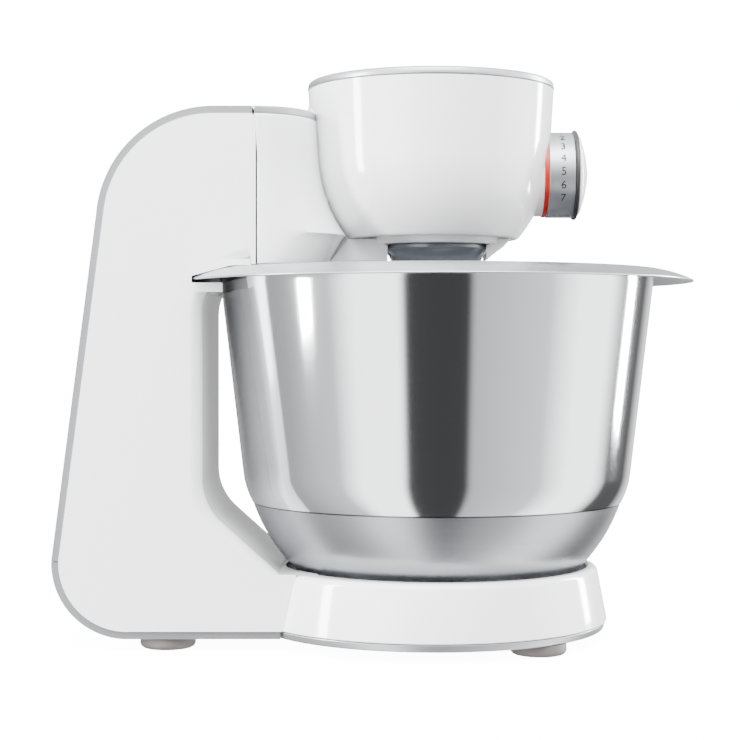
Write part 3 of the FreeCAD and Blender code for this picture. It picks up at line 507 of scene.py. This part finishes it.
# %% Turn the cup
head_low, head_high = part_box("head_housing")
cover_low, cover_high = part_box("top_cover")
CUP_X = (cover_low.x + cover_high.x) / 2 / MM
CUP_TOP = head_high.z / MM
CUP_R = (cover_high.y - cover_low.y) / 2 / MM
BEND_R, BELLY_R = 60.4, 66.2
bend, foot_z = CUP_TOP - 36.6, CUP_TOP - 75.6
cup_profile = trace([
    (31.0, foot_z + 2.5), (30.5, foot_z + 1.9, 0.6, 1), (30.5, foot_z + 0.7),
    (31.2, foot_z, 0.7, 1), (42.4, foot_z), (45.0, foot_z + 0.9, 3.0, -1),
    (BEND_R, bend, BELLY_R, -1), (CUP_R - 0.25, CUP_TOP - 0.3),
    (CUP_R - 0.5, CUP_TOP, 0.3, 1), (CUP_R - 2.5, CUP_TOP), (57.9, bend, 400, 1),
    (41.9, foot_z + 2.5, 63.7, 1),
], 24)
dress(turned("cup_shell", cup_profile, CUP_X * MM, 192), "arm", "white_shell", gloss_white,
      "head_housing")

# %% [markdown]
# ## The arm behind the cup
#
# The arm could be cut from a block, but its nose has to follow the cup, which narrows
# downwards. So its plan is worked out again at every height: straight sides and back, and a
# nose that reaches just inside the cup's wall, with wide round corners.

# %% Sweep the arm's plan upwards
ARM_BACK = head_low.x / MM
ARM_LOW = head_low.z / MM - 2.6
strip_low, strip_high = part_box("arm_strip")
ARM_TOP = strip_low.z / MM - 0.3
ARM_HALF = (strip_high.y - strip_low.y) / 2 / MM + 1.2
NOSE_ALONG, NOSE_ACROSS = 29, 34


def cup_radius(level):
    """The cup's outside radius at a height: a leaning line over an arc, in millimetres."""
    share = np.clip((level - bend) / (CUP_TOP - bend), 0, 1)
    drop = np.clip(bend - level, 0, None)
    arc = BEND_R - BELLY_R + np.sqrt(BELLY_R ** 2 - np.clip(drop, 0, 60) ** 2)
    lean = 0.068 * drop * np.exp(-drop / 30)
    return np.where(level > bend, BEND_R + share * (CUP_R - BEND_R), arc - lean)


def arm_plan(level, back, half, front_x, front_y, corner, quarter=12, inset=0.0):
    """A plan outline at one height: straight sides, small back corners, round front ones."""
    wall = cup_radius(level)
    lap = wall - math.sqrt(wall ** 2 - (half - front_y) ** 2) + 1.2
    low_nose = CUP_X - 44.2 - (foot_z - level) * 0.62
    nose = (low_nose if level < foot_z + 0.5 else CUP_X - wall + lap) - inset
    turn = np.linspace(0, np.pi / 2, quarter)
    arcs = [
        (nose - front_x, front_y - half + inset, front_x, front_y, -np.pi / 2 + turn),
        (nose - front_x, half - front_y - inset, front_x, front_y, turn),
        (back + corner + inset, half - corner - inset, corner, corner, np.pi / 2 + turn),
        (back + corner + inset, corner - half + inset, corner, corner, np.pi + turn),
    ]
    xs = np.concatenate([x + a * np.cos(t) for x, y, a, b, t in arcs])
    ys = np.concatenate([y + b * np.sin(t) for x, y, a, b, t in arcs])
    return np.stack([xs, ys, np.full_like(xs, float(level))], -1) * MM


def plan_stack(name, levels, insets, back, half, front_x, front_y, corner):
    """A solid from plan outlines at rising heights; insets round its top and bottom edges."""
    rows = [arm_plan(level, back, half, front_x, front_y, corner, inset=inset)
            for level, inset in zip(levels, insets)]
    return grid_piece(name, np.stack(rows))


print("arm back at", round(ARM_BACK, 1), "mm")


# %% Round the arm's edges and make it
def edge_rows(low, high, rounding, between=40):
    """Heights and insets for a body whose top and bottom edges are rounded."""
    turn = np.linspace(0, np.pi / 2, 6)
    bottom = low + rounding * (1 - np.sin(turn))[::-1]
    tops = high - rounding * (1 - np.sin(turn))
    levels = np.concatenate([bottom, np.linspace(low + rounding, high - rounding, between)[1:-1],
                             tops])
    insets = np.concatenate([rounding * (1 - np.cos(turn))[::-1], np.zeros(between - 2),
                             rounding * (1 - np.cos(turn))])
    return levels, insets


levels, insets = edge_rows(ARM_LOW, ARM_TOP, 0.8)
arm_shell = plan_stack("arm_shell", levels, insets, ARM_BACK, ARM_HALF, NOSE_ALONG,
                       NOSE_ACROSS, 0.8)
dress(arm_shell, "arm", "white_shell", gloss_white)
print("arm is", round(2 * ARM_HALF, 1), "mm wide")

# %% [markdown]
# ## The strip and the saddle
#
# A silver strip caps the arm, in line with the one on the column: it is the same plan, only
# 3.5 mm tall. Where it meets the cup a hollow fillet softens the corner.

# %% The silver strip on the arm
levels, insets = edge_rows(ARM_TOP + 0.15, strip_high.z / MM, 0.5, 6)
arm_strip = plan_stack("arm_top_strip", levels, insets, ARM_BACK, ARM_HALF - 0.5, NOSE_ALONG,
                       NOSE_ACROSS, 0.6)
dress(arm_strip, "arm", "silver_trim", silver_paint, "arm_strip")


# %% The saddle up to the cup
def saddle_grid(reach, rise, half_angle):
    """A hollow fillet round the back of the cup.

    On each section a quarter ellipse runs from the arm's top to the cup's wall. Its width and
    height fade to nothing towards both ends.
    """
    angle = np.linspace(-half_angle, half_angle, 61)[None, :]
    turn = np.linspace(0, np.pi / 2, 14)[:, None]
    fade = np.cos(angle / half_angle * np.pi / 2) ** 0.6
    floor_level, wall = strip_high.z / MM - 0.1, CUP_R - 1.2
    radius = wall + reach * fade * (1 - np.sin(turn))
    level = floor_level + rise * fade * (1 - np.cos(turn))
    inner = np.concatenate([radius[:1] * 0 + wall - 2.0] * 2 + [radius[:1]])
    depth = np.concatenate([level[-1:], level[:1] - 1.0, level[:1] - 1.0])
    radius, level = np.concatenate([radius, inner]), np.concatenate([level, depth])
    return np.stack([CUP_X - radius * np.cos(angle), radius * np.sin(angle), level], -1) * MM


saddle = grid_piece("cup_saddle", saddle_grid(5.5, 12.0, 0.30), around=False, closed=True)
dress(saddle, "arm", "white_shell", gloss_white)

# %% [markdown]
# ## The keel, the collar and the hub
#
# Under the cup a short keel carries the hub. The hub is grey and glossy: a straight drum that
# flares into a flange under the cup. Its underside has the socket for the tools, so its CAD
# shape is kept there, and only its finish changes.

# %% Smooth copies of CAD parts
def smooth_copy(node, name, width=0.0004, sharp=28.0):
    """A welded copy of a CAD part with softened edges."""
    mesh = nodes[node].data.copy()
    work = bmesh.new()
    work.from_mesh(mesh)
    bmesh.ops.remove_doubles(work, verts=work.verts, dist=1e-6)
    bmesh.ops.dissolve_limit(work, angle_limit=math.radians(0.4), verts=work.verts,
                             edges=work.edges)
    work.to_mesh(mesh)
    work.free()
    mesh.shade_smooth()
    mesh.set_sharp_from_angle(angle=math.radians(sharp))
    piece = bpy.data.objects.new(name, mesh)
    bpy.context.scene.collection.objects.link(piece)
    bevel = piece.modifiers.new("soft_edges", "BEVEL")
    bevel.width, bevel.segments = width, 2
    bevel.limit_method, bevel.angle_limit = "ANGLE", math.radians(sharp)
    even = piece.modifiers.new("even_shading", "WEIGHTED_NORMAL")
    even.keep_sharp = True
    return piece


for node, name, body, slot, finish in (
        ("head_bottom", "keel", "arm", "white_shell", gloss_white),
        ("hub_body", "hub_drum", "mixing_hub", "grey_plastic", grey_plastic)):
    dress(smooth_copy(node, name), body, slot, finish, node)
collar_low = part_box("hub_collar")[0].z / MM
collar_profile = soften([
    (28.2, collar_low, 0.4), (33.6, collar_low, 1.6), (34.4, foot_z + 0.5, 0),
    (28.2, foot_z + 1.6, 0)])
dress(turned("hub_collar_ring", collar_profile, BOWL_X, 128), "arm", "white_shell",
      gloss_white, "hub_collar")

# %% [markdown]
# ## The column
#
# The column is two moulded halves with a silver strip all round the back. The halves keep
# their CAD outline, because the bowl's brim turns in a slot through them, and get softened
# edges and even shading, so that the big flat sides stay flat in their reflections.

# %% Soften the column and its strips
for node, name, slot, finish in (
        ("column_side_right", "column_half_right", "white_shell", gloss_white),
        ("column_side_left", "column_half_left", "white_shell", gloss_white),
        ("throat_cover", "throat_liner", "white_shell", gloss_white),
        ("spine_cover", "back_strip", "silver_trim", silver_paint),
        ("heel_cover", "heel_strip", "silver_trim", silver_paint),
        ("cable_gland", "cord_gland", "black_rubber", black_rubber)):
    dress(smooth_copy(node, name), "stand", slot, finish, node)

# %% [markdown]
# ## The slot and the joint
#
# The brim turns in a slot in the column. A lining that follows the brim leaves only a thin
# gap, so the slot looks moulded to it. The joint to the arm is narrowed in the same way, by a
# thin lip, and the lip's outline is the circle that the arm's edge makes, so nothing touches.

# %% Line the slot that the bowl's brim turns in
COLUMN_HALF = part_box("column_side_left")[1].y / MM
SLOT_LOW, SLOT_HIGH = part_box("brim_slot")[0].z / MM - 0.3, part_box("brim_slot")[1].z / MM + 0.3


def brim_channel(clear=0.7):
    """A channel section carried along the brim: every point keeps its radius from the bowl's
    axis, and its angle runs until it meets the column's flat sides."""
    section = np.array([
        (117.2, SLOT_LOW), (edge + 4, SLOT_LOW), (edge + 4, SLOT_HIGH), (105.0, SLOT_HIGH),
        (105.0, top + clear), (113.5, top + clear), (edge + clear, top - 5.1 + clear),
        (edge + clear, top - 7.0 - clear), (117.2, top - 7.0 - clear)])
    radius, level = section[:, 0][:, None], section[:, 1][:, None]
    reach = np.arcsin((COLUMN_HALF - 0.1) / radius)
    angle = reach * np.linspace(-1, 1, 33)[None, :]
    return np.stack([BOWL_X / MM - radius * np.cos(angle), radius * np.sin(angle),
                     level + 0 * angle], -1) * MM


dress(grid_piece("slot_liner", brim_channel(), around=False, closed=True), "stand",
      "white_shell", gloss_white, "brim_slot")

# %% Lips that narrow the joint between the column and the arm
PIVOT_X, PIVOT_Z = -90.0, 253.5
JOINT_GAP = 0.75


def joint_lip(side):
    """A thin plate along the column's edge.

    Its front is upright below the hinge, and above it follows the circle that the arm's back
    edge makes, so that the arm still swings clear.
    """
    level = np.linspace(ARM_LOW, ARM_TOP - 0.6, 36)[:, None]
    swing = ARM_BACK - PIVOT_X
    above = np.clip(level - PIVOT_Z, 0, None)
    front = PIVOT_X + np.sqrt(swing ** 2 - above ** 2) - JOINT_GAP
    back = 0 * front + ARM_BACK - 3.2
    inside = 0 * front + side * (COLUMN_HALF - 1.8)
    outside = 0 * front + side * (COLUMN_HALF - 0.1)
    xs = np.concatenate([back, front, front, back], 1)
    ys = np.concatenate([inside, inside, outside, outside], 1)
    return np.stack([xs, ys, level + 0 * xs], -1) * MM


for side, label in ((-1, "right"), (1, "left")):
    dress(grid_piece(f"joint_lip_{label}", joint_lip(side)), "stand", "white_shell", gloss_white)

# %% [markdown]
# ## The base
#
# The bowl stands in a round dish that isn't centred on the base, so the centre of each ring
# of the grid moves over from the base's axis to the bowl's on the way in. The same grid
# function does it: it takes one centre for every row.

# %% Turn the base, its trim ring and the feet
base_low, base_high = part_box("base_housing")
BASE_X = (base_low.x + base_high.x) / 2 / MM
BASE_R = (base_high.y - base_low.y) / 2 / MM
base_top, base_foot = base_high.z / MM, base_low.z / MM
DISH = 76.6
base_profile = trace([
    (0, base_foot), (BASE_R - 0.6, base_foot), (BASE_R, base_foot + 0.6, 0.6, -1),
    (BASE_R - 4.5, base_top - 3.2), (BASE_R - 8.0, base_top, 3.6, -1), (DISH + 0.7, base_top),
    (DISH, base_top - 0.7, 0.7, 1), (DISH, base_top - 10.3), (DISH - 0.7, base_top - 11, 0.7, 1),
    (0, base_top - 11),
], 10)
dish_from = np.flatnonzero(base_profile[:, 0] < (DISH + 1.0) * MM)
centres = np.full(len(base_profile), BASE_X * MM)
centres[dish_from[dish_from > 5]] = BOWL_X
base = turned("base_shell", base_profile, centres, 192, closed=False)
dress(base, "stand", "white_shell", gloss_white, "base_housing")
trim_low, trim_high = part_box("base_trim")
TRIM_R = (trim_high.y - trim_low.y) / 2 / MM
ring_profile = soften([
    (TRIM_R - 8, trim_low.z / MM, 0.4), (TRIM_R - 1.0, trim_low.z / MM, 0.8),
    (TRIM_R, trim_high.z / MM, 0.4), (TRIM_R - 8, trim_high.z / MM, 0.4)])
dress(turned("base_ring", ring_profile, BASE_X * MM, 192), "stand", "silver_trim", silver_paint,
      "base_trim")
FOOT_R = 13.7
foot_profile = trace([
    (0, 0.6), (6, 0.6), (7, 0, 1.2, 1), (11.2, 0), (FOOT_R, 2.6, 2.8, -1), (13.4, 5.7),
    (0, 5.7)], 6)
feet_low, feet_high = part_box("rubber_feet")
FRONT_X, FRONT_Y = feet_high.x / MM - FOOT_R, feet_high.y / MM - FOOT_R
REAR_X, REAR_Y = feet_low.x / MM + FOOT_R, 36.0
for count, (x, y) in enumerate([(FRONT_X, FRONT_Y), (FRONT_X, -FRONT_Y), (REAR_X, REAR_Y),
                                (REAR_X, -REAR_Y)]):
    foot = turned(f"foot_{count + 1}", foot_profile, 0, 64, closed=False)
    shift = np.array([x, y, 0]) * MM
    spots = np.zeros(len(foot.data.vertices) * 3)
    foot.data.vertices.foreach_get("co", spots)
    foot.data.vertices.foreach_set("co", (spots.reshape(-1, 3) + shift).ravel())
    dress(foot, "stand", "rubber", foot_rubber, *(["rubber_feet"] if count == 0 else []))

# %% [markdown]
# ## The lid over the upper drive
#
# A thin silver disc covers the drive for a blender jug. It is nearly flat, with a round edge
# that catches the light, and it lifts straight off.

# %% Turn the lid
lid_low, lid_high = cover_low.z / MM, cover_high.z / MM
lid_profile = trace([
    (0, lid_low + 2.5), (57.9, lid_low + 2.5), (57.9, lid_low), (CUP_R - 0.5, lid_low),
    (CUP_R, lid_low + 0.5, 0.5, -1), (CUP_R - 0.3, lid_high - 1.5),
    (CUP_R - 2.4, lid_high - 0.3, 2.2, -1),
    (CUP_R - 7, lid_high), (0, lid_high)], 8)
dress(turned("drive_lid", lid_profile, CUP_X * MM, 192, closed=False), "drive_cover",
      "silver_trim", silver_paint, "top_cover")

# %% [markdown]
# ## The speed dial
#
# The dial is a silver drum on the nose of the cup, with a thin rubber ring for grip and a
# domed white cap. A red ring marks its root. Its numbers are printed on the drum: they are
# made as text, turned into a mesh, and wrapped round the drum by one formula.

# %% Turn the drum, the ring and the cap about the dial's own axis
dial_low, dial_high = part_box("dial_body")
DIAL_Z = (dial_low.z + dial_high.z) / 2 / MM
DRUM_R = (dial_high.z - dial_low.z) / 2 / MM
back_x, front_x = dial_low.x / MM - 3.5, dial_high.x / MM - 1.6
grip_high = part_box("dial_grip")[1]
GRIP_R = grip_high.z / MM - DIAL_Z
cap_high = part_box("dial_cap")[1]


def dial_piece(name, outline, body, slot, finish, *replaced):
    """A piece turned about the dial's axis."""
    made = turned(name, outline, columns=128, axis="x", height=DIAL_Z * MM)
    dress(made, body, slot, finish, *replaced)


dial_piece("dial_drum", soften([
    (3.2, back_x, 0), (DRUM_R, back_x, 0.5), (DRUM_R, front_x, 0.2), (3.2, front_x, 0)]),
    "speed_dial", "silver_trim", silver_paint, "dial_body")
dial_piece("dial_rubber", soften([
    (20.7, front_x + 0.1, 0.2), (GRIP_R, front_x + 0.1, 1.15), (GRIP_R, front_x + 2.5, 1.15),
    (20.7, front_x + 2.5, 0.2)]), "speed_dial", "black_rubber", black_rubber, "dial_grip")
cap_profile = trace([
    (0, front_x + 0.05), (20.6, front_x + 0.05), (20.6, front_x + 2.3),
    (18.4, front_x + 4.3, 2.3, -1), (0, cap_high.x / MM, 70, -1)], 20)
cap = turned("dial_dome", cap_profile, columns=128, closed=False, axis="x", height=DIAL_Z * MM)
dress(cap, "speed_dial", "white_shell", gloss_white, "dial_cap")
dial_piece("red_collar", soften([
    (17.0, back_x - 2.3, 0), (21.5, back_x - 2.3, 0.2), (21.5, back_x - 0.1, 0.2),
    (17.0, back_x - 0.1, 0)]), "arm", "red_plastic", signal_red, "red_ring")
dress(smooth_copy("dial_boss", "dial_root", 0.00025), "arm", "white_shell", gloss_white,
      "dial_boss")

# %% [markdown]
# ## The numbers
#
# A number could be an image on the drum, but a mesh stays sharp from any distance. Each one is
# written flat, cut fine enough to bend, and wrapped: a point's height on the page, divided by
# the drum's radius, is its angle round the drum.

# %% Print the numbers on the drum
number_ink = moulded_rubber("number_ink", (0.02, 0.02, 0.022), 0.85, 0.000001, gloss=0.1)
DIGIT_TALL, DIGIT_STEP, DIGIT_X = 4.2, 18.0, back_x + 7.1


def number_on_drum(digit):
    """Wrap a flat digit round the drum: height on the page becomes angle round the axis."""
    curve = bpy.data.curves.new(f"digit_{digit}", "FONT")
    curve.body, curve.size = str(digit), DIGIT_TALL * MM * 1.38
    curve.align_x, curve.align_y = "CENTER", "CENTER"
    curve.resolution_u = 4
    flat = bpy.data.objects.new("flat_digit", curve)
    bpy.context.scene.collection.objects.link(flat)
    bpy.context.view_layer.update()
    mesh = bpy.data.meshes.new_from_object(flat)
    bpy.data.objects.remove(flat)
    work = bmesh.new()
    work.from_mesh(mesh)
    bmesh.ops.triangulate(work, faces=work.faces)
    bmesh.ops.subdivide_edges(work, edges=work.edges, cuts=3, use_grid_fill=True)
    work.to_mesh(mesh)
    work.free()
    page = np.zeros(len(mesh.vertices) * 3)
    mesh.vertices.foreach_get("co", page)
    page = page.reshape(-1, 3)
    angle = math.radians((5 - digit) * DIGIT_STEP) + page[:, 1] / (DRUM_R * MM)
    reach = (DRUM_R + 0.14) * MM
    spots = np.stack([DIGIT_X * MM + page[:, 0], -reach * np.cos(angle),
                      DIAL_Z * MM + reach * np.sin(angle)], -1)
    mesh.vertices.foreach_set("co", spots.ravel())
    piece = bpy.data.objects.new(f"dial_number_{digit}", mesh)
    bpy.context.scene.collection.objects.link(piece)
    dress(piece, "speed_dial", "dark_plastic", number_ink)


for digit in range(1, 8):
    number_on_drum(digit)

# %% [markdown]
# ## The lock button
#
# On the far side of the column a round button frees the arm. It is a white disc with a
# shallow dish for the thumb.

# %% Turn the button
button_low, button_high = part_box("lock_button")
BUTTON_X = (button_low.x + button_high.x) / 2
BUTTON_Z = (button_low.z + button_high.z) / 2
reach_in, reach_out = button_low.y / MM, button_high.y / MM
button_profile = trace([
    (0, reach_in), (9, reach_in), (9, reach_out - 1), (8, reach_out, 1, -1), (7, reach_out - 0.1),
    (0, reach_out - 0.9, 40, 1)], 8)
angle = np.linspace(0, 2 * np.pi, 96, endpoint=False)
radius, depth = button_profile[:, 0][:, None], button_profile[:, 1][:, None]
button_grid = np.stack([BUTTON_X + radius * np.cos(angle), depth + 0 * angle,
                        BUTTON_Z + radius * np.sin(angle)], -1)
dress(grid_piece("arm_button", button_grid), "arm_lock", "white_shell", gloss_white, "lock_button")

# %% [markdown]
# ## The studio
#
# White goods are lit on a pale floor between large soft lights, with dark card at the sides
# so that polished steel has something to mirror. The room here is the world's own light: a
# colour that changes with the direction round the object, brighter overhead.

# %% Light from the room
# degrees round the object from the camera, and how bright the room is there
ROOM = [(-180, 0.05), (-150, 0.02), (-122, 0.10), (-92, 0.16), (-60, 0.30), (-46, 1.0),
        (-22, 1.0), (-18, 0.018), (15, 0.018), (19, 0.22), (60, 0.34), (80, 1.0), (102, 1.0),
        (116, 0.03), (140, 0.03), (156, 0.35), (180, 0.05)]
ROOM_POWER = 5.0
world = bpy.data.worlds.new("studio")
bpy.context.scene.world = world
world.use_nodes = True
room = NodeBuilder(world.node_tree)
east, north, height = room.axes(room.node("TexCoord", {}, out="Generated"))
bearing = room.node("Math", {"operation": "ARCTAN2"}, east, north * -1.0)
share = room.node("MapRange", {}, bearing, -math.pi, math.pi)
walls = room.node("ValToRGB", {"stops": [((degrees + 180) / 360, (bright,) * 3)
                                         for degrees, bright in ROOM]}, share)
ceiling = 1 - north.between(-0.2, 0.8) * 0.7
glow = room.node("Background", {}, Strength=ROOM_POWER,
                 Color=room.blend(height.between(0.06, 0.5), walls, ceiling))
room.close("OutputWorld", glow.socket)
print("the room has", len(ROOM), "brightness stops")


# %% The white surround
def white_sheet(name, mesh, strength):
    """Part of the white surround: it glows evenly, and the object doesn't mirror it."""
    finish = Finish(name)
    finish.set(Base_Color=(0.9, 0.9, 0.9), Roughness=0.7, Emission_Color=(1.0, 1.0, 1.0),
               Emission_Strength=strength)
    mesh.materials.append(finish.material)
    sheet = bpy.data.objects.new(name, mesh)
    bpy.context.scene.collection.objects.link(sheet)
    sheet.visible_glossy = sheet.visible_diffuse = sheet.visible_shadow = False


floor_mesh = bpy.data.meshes.new("floor")
FLOOR_HALF, FLOOR_GLOW = 6.0, 13.0
DOME_R, DOME_GLOW = 5.8, 14.0
floor_mesh.from_pydata([(-FLOOR_HALF, -FLOOR_HALF, 0), (FLOOR_HALF, -FLOOR_HALF, 0),
                        (FLOOR_HALF, FLOOR_HALF, 0), (-FLOOR_HALF, FLOOR_HALF, 0)],
                       [], [(0, 1, 2, 3)])
white_sheet("pale_floor", floor_mesh, FLOOR_GLOW)
dome_mesh = bpy.data.meshes.new("dome")
dome_work = bmesh.new()
bmesh.ops.create_uvsphere(dome_work, u_segments=48, v_segments=24, radius=DOME_R)
bmesh.ops.reverse_faces(dome_work, faces=dome_work.faces)
dome_work.to_mesh(dome_mesh)
dome_work.free()
white_sheet("white_dome", dome_mesh, DOME_GLOW)
print("floor and dome are white")


# %% Lamps
def lamp(name, place, target, size, power):
    """A soft rectangular light that looks at a target."""
    light = bpy.data.lights.new(name, "AREA")
    light.shape, light.size, light.size_y = "RECTANGLE", size[0], size[1]
    light.energy = power
    made = bpy.data.objects.new(name, light)
    bpy.context.scene.collection.objects.link(made)
    made.location = place
    direction = Vector(target) - Vector(place)
    made.rotation_euler = direction.to_track_quat("-Z", "Y").to_euler()
    print(name, "gives", power, "watts")


WATTS, SIDE_SIZE = 60.0, (0.2, 1.1)
lamp("left_softbox", (-1.43, -0.46, 0.42), (0, 0, 0.2), SIDE_SIZE, WATTS)
lamp("right_softbox", (1.32, 0.7, 0.42), (0, 0, 0.2), SIDE_SIZE, WATTS)
lamp("top_softbox", (0.0, -0.9, 1.5), (0, 0, 0.1), (1.4, 1.0), WATTS)

# %% Camera
CAMERA_AT = (-0.0048, -0.906, 0.1483)
SENSOR, LENS, SHIFT_UP = 36.0, 86.1, -0.034
camera_data = bpy.data.cameras.new("camera")
camera_data.sensor_width, camera_data.lens, camera_data.shift_y = SENSOR, LENS, SHIFT_UP
camera = bpy.data.objects.new("camera", camera_data)
camera.location, camera.rotation_euler = CAMERA_AT, (math.pi / 2, 0, 0)
bpy.context.scene.collection.objects.link(camera)
bpy.context.scene.camera = camera
print("the camera is", round(-CAMERA_AT[1], 2), "m in front")
